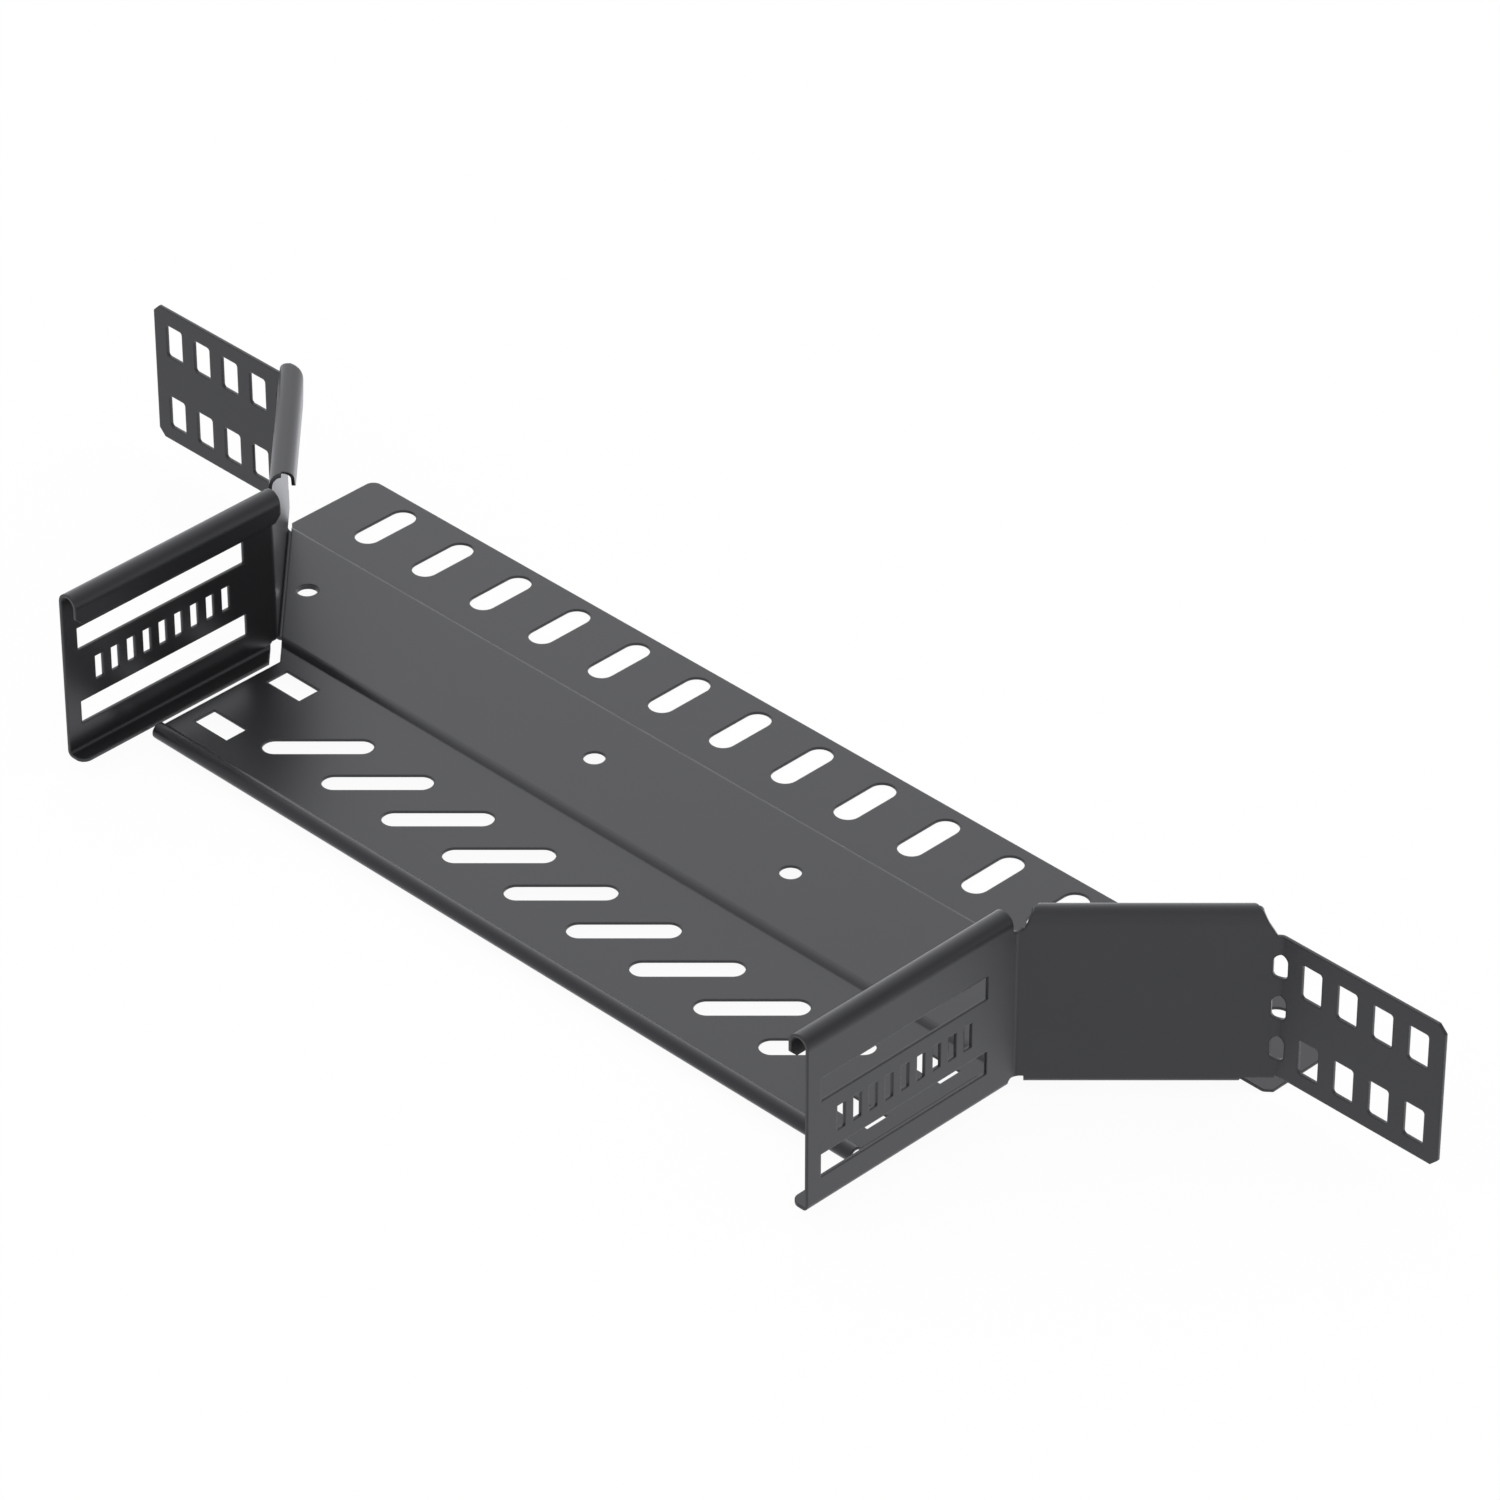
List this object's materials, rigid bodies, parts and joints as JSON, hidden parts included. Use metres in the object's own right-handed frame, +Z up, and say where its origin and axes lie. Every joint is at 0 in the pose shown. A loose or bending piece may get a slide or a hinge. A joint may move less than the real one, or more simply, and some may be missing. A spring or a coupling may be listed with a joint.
{
  "type": "cable tray add-on tee",
  "caption": "Add-on tee of folded perforated sheet that joins a branch tray to the side of a straight cable tray at a right angle.",
  "frame": {"origin": "middle of the branch, in the plane of the arms' back faces that lie against the main tray's side, at the underside of the rear flange", "axes": "+X along the main tray, +Y from the branch into the main tray, +Z up"},
  "size_m": [0.5088, 0.1627, 0.0607],
  "materials": {
    "floor_coat": "semi-gloss dark grey powder coat",
    "side_coat": "semi-gloss black powder coat"
  },
  "bodies": {
    "root": {"floor_plate": "floor_coat", "left_side": "side_coat", "right_side": "side_coat"}
  },
  "joints": []
}
